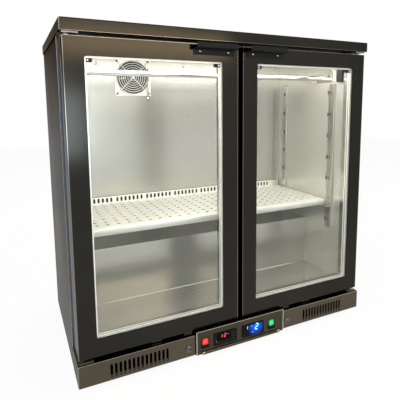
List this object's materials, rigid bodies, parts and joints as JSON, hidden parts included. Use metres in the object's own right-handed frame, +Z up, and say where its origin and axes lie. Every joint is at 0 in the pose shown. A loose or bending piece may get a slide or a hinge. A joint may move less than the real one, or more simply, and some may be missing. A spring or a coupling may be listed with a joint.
{
  "type": "dry aging cabinet",
  "caption": "Under-counter dry aging cabinet with glass double doors, a perforated shelf, a hanging rail with hooks, a circulation fan and controls in the kick panel.",
  "frame": {"origin": "on the floor under the centre of the overall box, door pulls included", "axes": "-Y is the front with the doors, +Z is up, and left is -X as seen from the front"},
  "size_m": [0.9, 0.525, 0.877],
  "materials": {
    "dark_steel": "dark polished stainless sheet",
    "bronze_steel": "dark bronze stainless sheet",
    "black_metal": "black powder coat",
    "brushed_steel": "satin stainless",
    "bright_steel": "polished stainless",
    "galvanised_steel": "galvanised sheet",
    "chrome": "bright plated",
    "aluminium": "mill",
    "glass": "clear float glass",
    "rubber": "matt",
    "black_plastic": "moulded",
    "foam": "rigid foam",
    "red_lens": "translucent red",
    "green_lens": "translucent green"
  },
  "bodies": {
    "cabinet": {"worktop": "dark_steel", "top_rail": "dark_steel", "side_panel_left": "dark_steel", "side_panel_right": "dark_steel", "rear_panel": "galvanised_steel", "base_pan": "galvanised_steel", "foot_front_left": "black_plastic", "foot_front_right": "black_plastic", "foot_rear_left": "black_plastic", "foot_rear_right": "black_plastic", "insulation": "foam", "liner_left": "brushed_steel", "liner_right": "brushed_steel", "liner_ceiling_and_rear": "brushed_steel", "liner_floor_and_step": "brushed_steel", "air_duct_panel": "brushed_steel", "front_frame": "brushed_steel", "centre_post": "brushed_steel", "kick_panel": "dark_steel", "control_housing": "bronze_steel", "controller_temperature": "black_plastic", "controller_humidity": "black_plastic", "hinge_top_left": "bright_steel", "hinge_bottom_left": "bright_steel", "hinge_top_right": "bright_steel", "hinge_bottom_right": "bright_steel", "post_front_left": "brushed_steel", "post_front_right": "brushed_steel", "post_rear_left": "brushed_steel", "post_rear_right": "brushed_steel", "hanging_rail": "bright_steel", "rail_bracket_left": "bright_steel", "rail_bracket_right": "bright_steel", "light_bar": "black_plastic", "fan_housing": "black_plastic", "fan_grille": "bright_steel", "evaporator": "aluminium", "compressor": "black_metal", "condenser": "black_metal"},
    "door_left": {"door_frame_left": "dark_steel", "door_glass_outer_left": "glass", "door_glass_inner_left": "glass", "glazing_spacer_left": "aluminium", "door_gasket_left": "rubber", "door_pull_left": "black_metal"},
    "door_right": {"door_frame_right": "dark_steel", "door_glass_outer_right": "glass", "door_glass_inner_right": "glass", "glazing_spacer_right": "aluminium", "door_gasket_right": "rubber", "door_pull_right": "black_metal"},
    "switch_red": {"rocker_red": "red_lens"},
    "switch_green": {"rocker_green": "green_lens"},
    "key_lock_left": {"lock_left": "chrome"},
    "key_lock_right": {"lock_right": "chrome"},
    "lift_off_shelf": {"shelf": "brushed_steel"},
    "hook_left": {"meat_hook_left": "bright_steel"},
    "hook_right": {"meat_hook_right": "bright_steel"},
    "circulation_rotor": {"fan_rotor": "black_plastic"},
    "condenser_rotor": {"condenser_fan": "black_plastic"}
  },
  "joints": [
    {"name": "door_left_hinge", "type": "hinge", "parent": "cabinet", "child": "door_left", "pos_m": [-0.4318, -0.2175, 0.45], "axis": [0, 0, -1], "range_deg": [0, 100]},
    {"name": "door_right_hinge", "type": "hinge", "parent": "cabinet", "child": "door_right", "pos_m": [0.4318, -0.2175, 0.45], "axis": [0, 0, 1], "range_deg": [0, 100]},
    {"name": "switch_red_rock", "type": "hinge", "parent": "cabinet", "child": "switch_red", "pos_m": [-0.1168, -0.249, 0.0415], "axis": [1, 0, 0], "range_deg": [0, 14]},
    {"name": "switch_green_rock", "type": "hinge", "parent": "cabinet", "child": "switch_green", "pos_m": [0.0988, -0.249, 0.0415], "axis": [1, 0, 0], "range_deg": [0, 14]},
    {"name": "lock_left_turn", "type": "hinge", "parent": "cabinet", "child": "key_lock_left", "pos_m": [-0.1611, -0.2445, 0.0333], "axis": [0, 1, 0], "range_deg": [0, 90]},
    {"name": "lock_right_turn", "type": "hinge", "parent": "cabinet", "child": "key_lock_right", "pos_m": [0.1611, -0.2445, 0.0333], "axis": [0, -1, 0], "range_deg": [0, 90]},
    {"name": "shelf_lift", "type": "slide", "parent": "cabinet", "child": "lift_off_shelf", "axis": [0, 0, 1], "range_m": [0, 0.03]},
    {"name": "hook_left_slide", "type": "slide", "parent": "cabinet", "child": "hook_left", "axis": [1, 0, 0], "range_m": [-0.17, 0.11]},
    {"name": "hook_right_slide", "type": "slide", "parent": "cabinet", "child": "hook_right", "axis": [1, 0, 0], "range_m": [-0.11, 0.28]},
    {"name": "circulation_fan_spin", "type": "hinge", "parent": "cabinet", "child": "circulation_rotor", "pos_m": [-0.182, 0.186, 0.7786], "axis": [0, -1, 0], "continuous": true},
    {"name": "condenser_fan_spin", "type": "hinge", "parent": "cabinet", "child": "condenser_rotor", "pos_m": [-0.19, 0.135, 0.0865], "axis": [0, 1, 0], "continuous": true}
  ]
}
